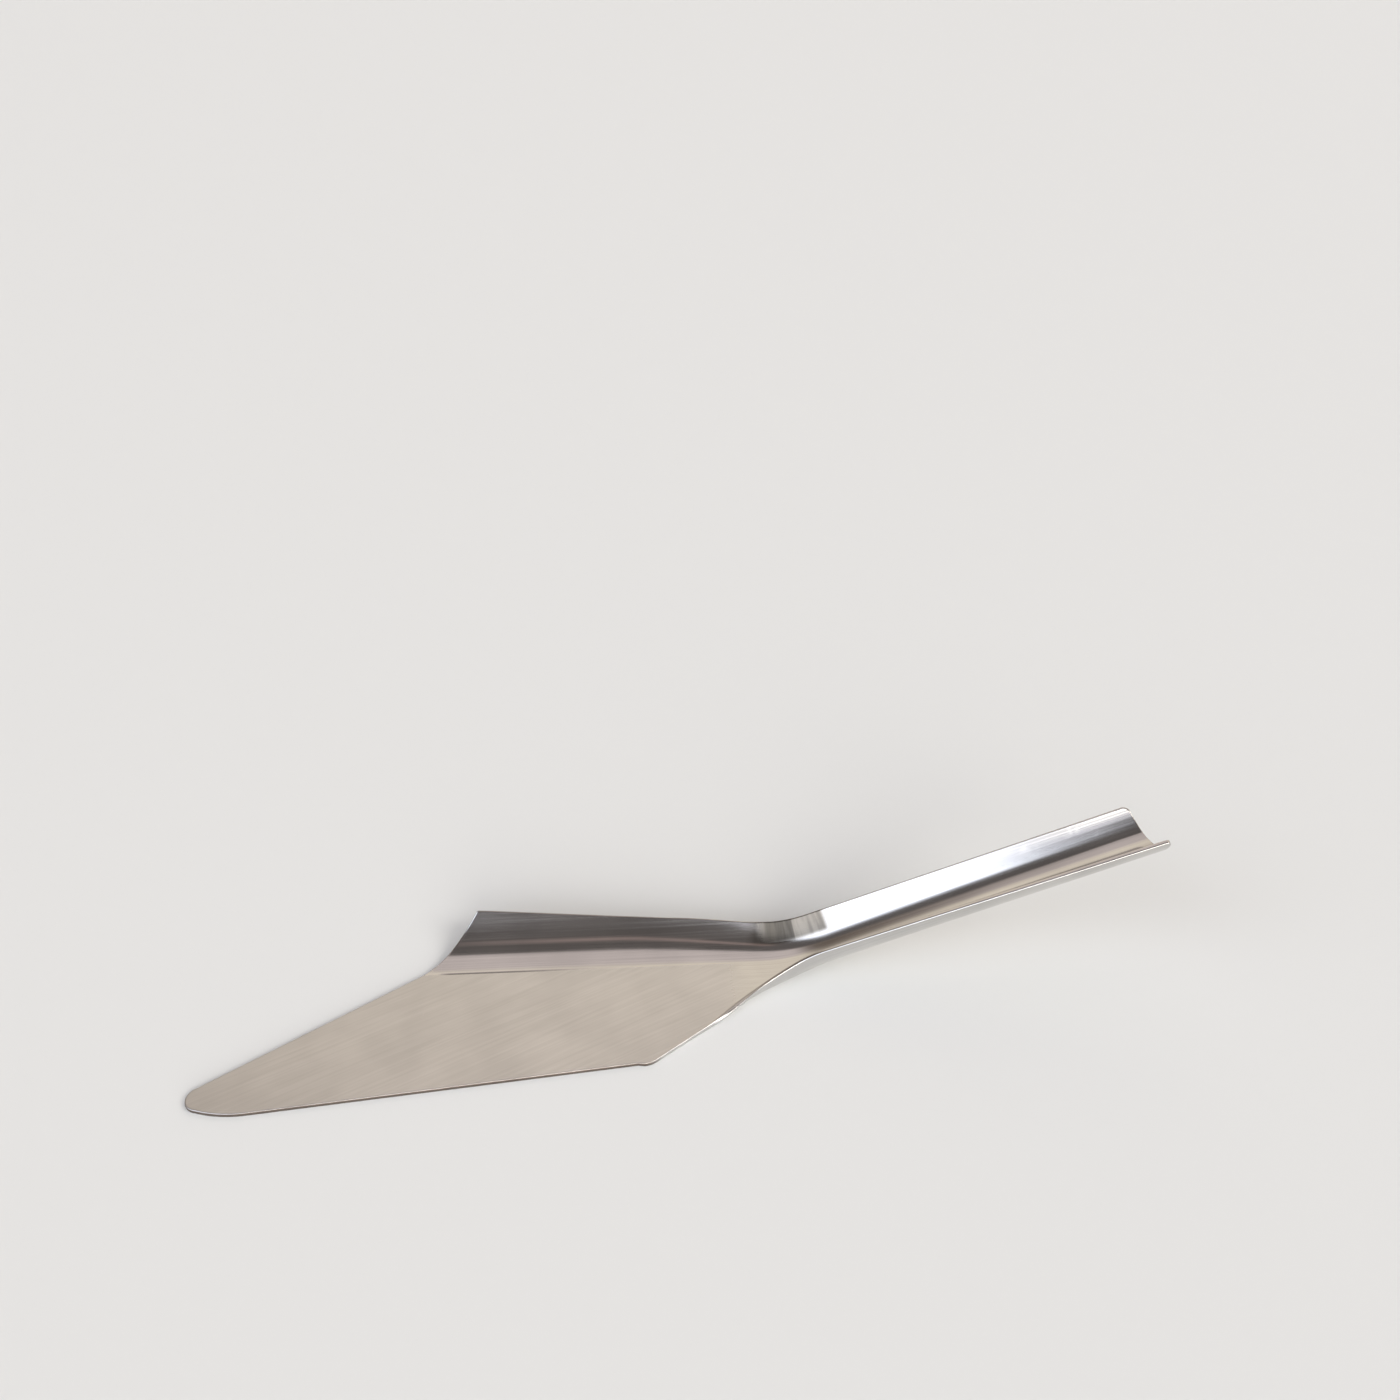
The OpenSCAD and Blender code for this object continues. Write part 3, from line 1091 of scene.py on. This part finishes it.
@dataclass(frozen=True)
class Sky:
    """The soft light all round: a pale wall ahead, a dim room behind, a window and two lamps.

    An edge is a pair of numbers: where the change starts and where it ends, on
    the part of the light's direction that it belongs to. A place is a direction.
    """

    # the wall ahead
    wall: Colour = (0.98, 0.885, 0.76, 1.0)
    wall_high: Colour = (0.735, 0.655, 0.64, 1.0)
    wall_low: Colour = (0.60, 0.52, 0.45, 1.0)
    wall_side: Colour = (0.18, 0.145, 0.12, 1.0)
    high_edge: Edge = (0.70, 0.84)
    low_edge: Edge = (0.60, 0.25)
    side_edge: Edge = (-0.27, -0.50)
    # the room behind
    room: Colour = (0.135, 0.121, 0.117, 1.0)
    room_edge: Edge = (0.08, 0.02)
    glow: Colour = (0.50, 0.38, 0.355, 1.0)
    glow_place: Edge = (-0.02, -0.34)
    glow_half: Edge = (0.16, 0.08)
    low_room: Colour = (0.72, 0.72, 0.80, 1.0)
    low_room_edge: Edge = (0.63, 0.50)
    # the window
    window: Colour = (2.3, 2.45, 2.8, 1.0)
    window_side: Place = (0.909, -0.0946, 0.406)
    window_edge: Edge = (0.125, 0.09)
    window_top: Edge = (0.84, 0.72)
    window_end: Edge = (0.0, -0.3)
    # the lamps
    lamp: Colour = (7.0, 6.7, 6.3, 1.0)
    lamp_place: Place = (0.254, -0.945, 0.203)
    lamp_edge: Edge = (0.90, 0.97)
    side_lamp_place: Place = (0.721, -0.421, 0.551)
    side_lamp_edge: Edge = (0.955, 0.985)

    def _ahead(self, graph: Graph, x: Socket, z: Socket) -> Socket:
        """Paints the wall ahead.

        Args:
            graph: The world's node tree.
            x: The light's direction to the right.
            z: Its direction up.

        Returns:
            The colour.
        """
        wall = graph.blend(graph.ease(z, self.high_edge), self.wall, self.wall_high)
        wall = graph.blend(graph.ease(z, self.low_edge), wall, self.wall_low)
        return graph.blend(graph.ease(x, self.side_edge), wall, self.wall_side)

    def _behind(self, graph: Graph, x: Socket, y: Socket, z: Socket) -> Socket:
        """Paints the room behind, with a warm glow in it.

        Args:
            graph: The world's node tree.
            x: The light's direction to the right.
            y: Its direction ahead.
            z: Its direction up.

        Returns:
            The colour.
        """
        falls = []
        for part, middle, half in zip((x, y), self.glow_place, self.glow_half):
            off = graph.math("ABSOLUTE", graph.math("SUBTRACT", part, middle))
            falls.append(graph.ease(off, (half, 0.0)))
        room = graph.blend(graph.product(*falls), self.room, self.glow)
        return graph.blend(graph.ease(z, self.low_room_edge), room, self.low_room)

    def set_up(self) -> None:
        """Makes the world and gives it to the scene."""
        world = bpy.data.worlds.new("studio")
        world.use_nodes = True
        graph = Graph(world.node_tree)
        way = graph.add("TexCoord").outputs["Generated"]
        x, y, z = graph.add("SeparateXYZ", {0: way}).outputs[:3]
        ahead, behind = self._ahead(graph, x, z), self._behind(graph, x, y, z)
        colour = graph.blend(graph.ease(y, self.room_edge), ahead, behind)
        window = graph.product(
            graph.ease(graph.along(way, self.window_side), self.window_edge),
            graph.ease(z, self.window_top),
            graph.ease(y, self.window_end),
        )
        colour = graph.blend(window, colour, self.window)
        lamps = (
            (self.lamp_place, self.lamp_edge),
            (self.side_lamp_place, self.side_lamp_edge),
        )
        for place, edge in lamps:
            near = graph.ease(graph.along(way, place), edge)
            colour = graph.blend(near, colour, self.lamp)
        graph.feed(world.node_tree.nodes["Background"].inputs["Color"], colour)
        bpy.context.scene.world = world


@dataclass(frozen=True)
class Studio:
    """A plain pale floor under the sky. Its half width is in metres."""

    sky: Sky = field(default_factory=Sky)
    floor_half: float = 3.0
    floor_tone: Colour = (0.74, 0.755, 0.745, 1.0)
    floor_rough: float = 0.9

    def set_up(self) -> None:
        """Adds the floor and the light."""
        deselect_everything()
        bpy.ops.mesh.primitive_plane_add(size=2 * self.floor_half)
        floor = bpy.context.active_object
        floor.name = floor.data.name = "floor"
        paint = bpy.data.materials.new("floor")
        paint.use_nodes = True
        shader = paint.node_tree.nodes["Principled BSDF"]
        shader.inputs["Base Color"].default_value = self.floor_tone
        shader.inputs["Roughness"].default_value = self.floor_rough
        floor.data.materials.append(paint)
        self.sky.set_up()
        bpy.context.scene.view_settings.view_transform = "Standard"


def main() -> None:
    """Builds the setting and the server."""
    logging.basicConfig(level=logging.INFO, format="%(name)s: %(message)s")
    View().set_up()
    CakeServer().place()
    Studio().set_up()


if __name__ == "__main__":
    main()
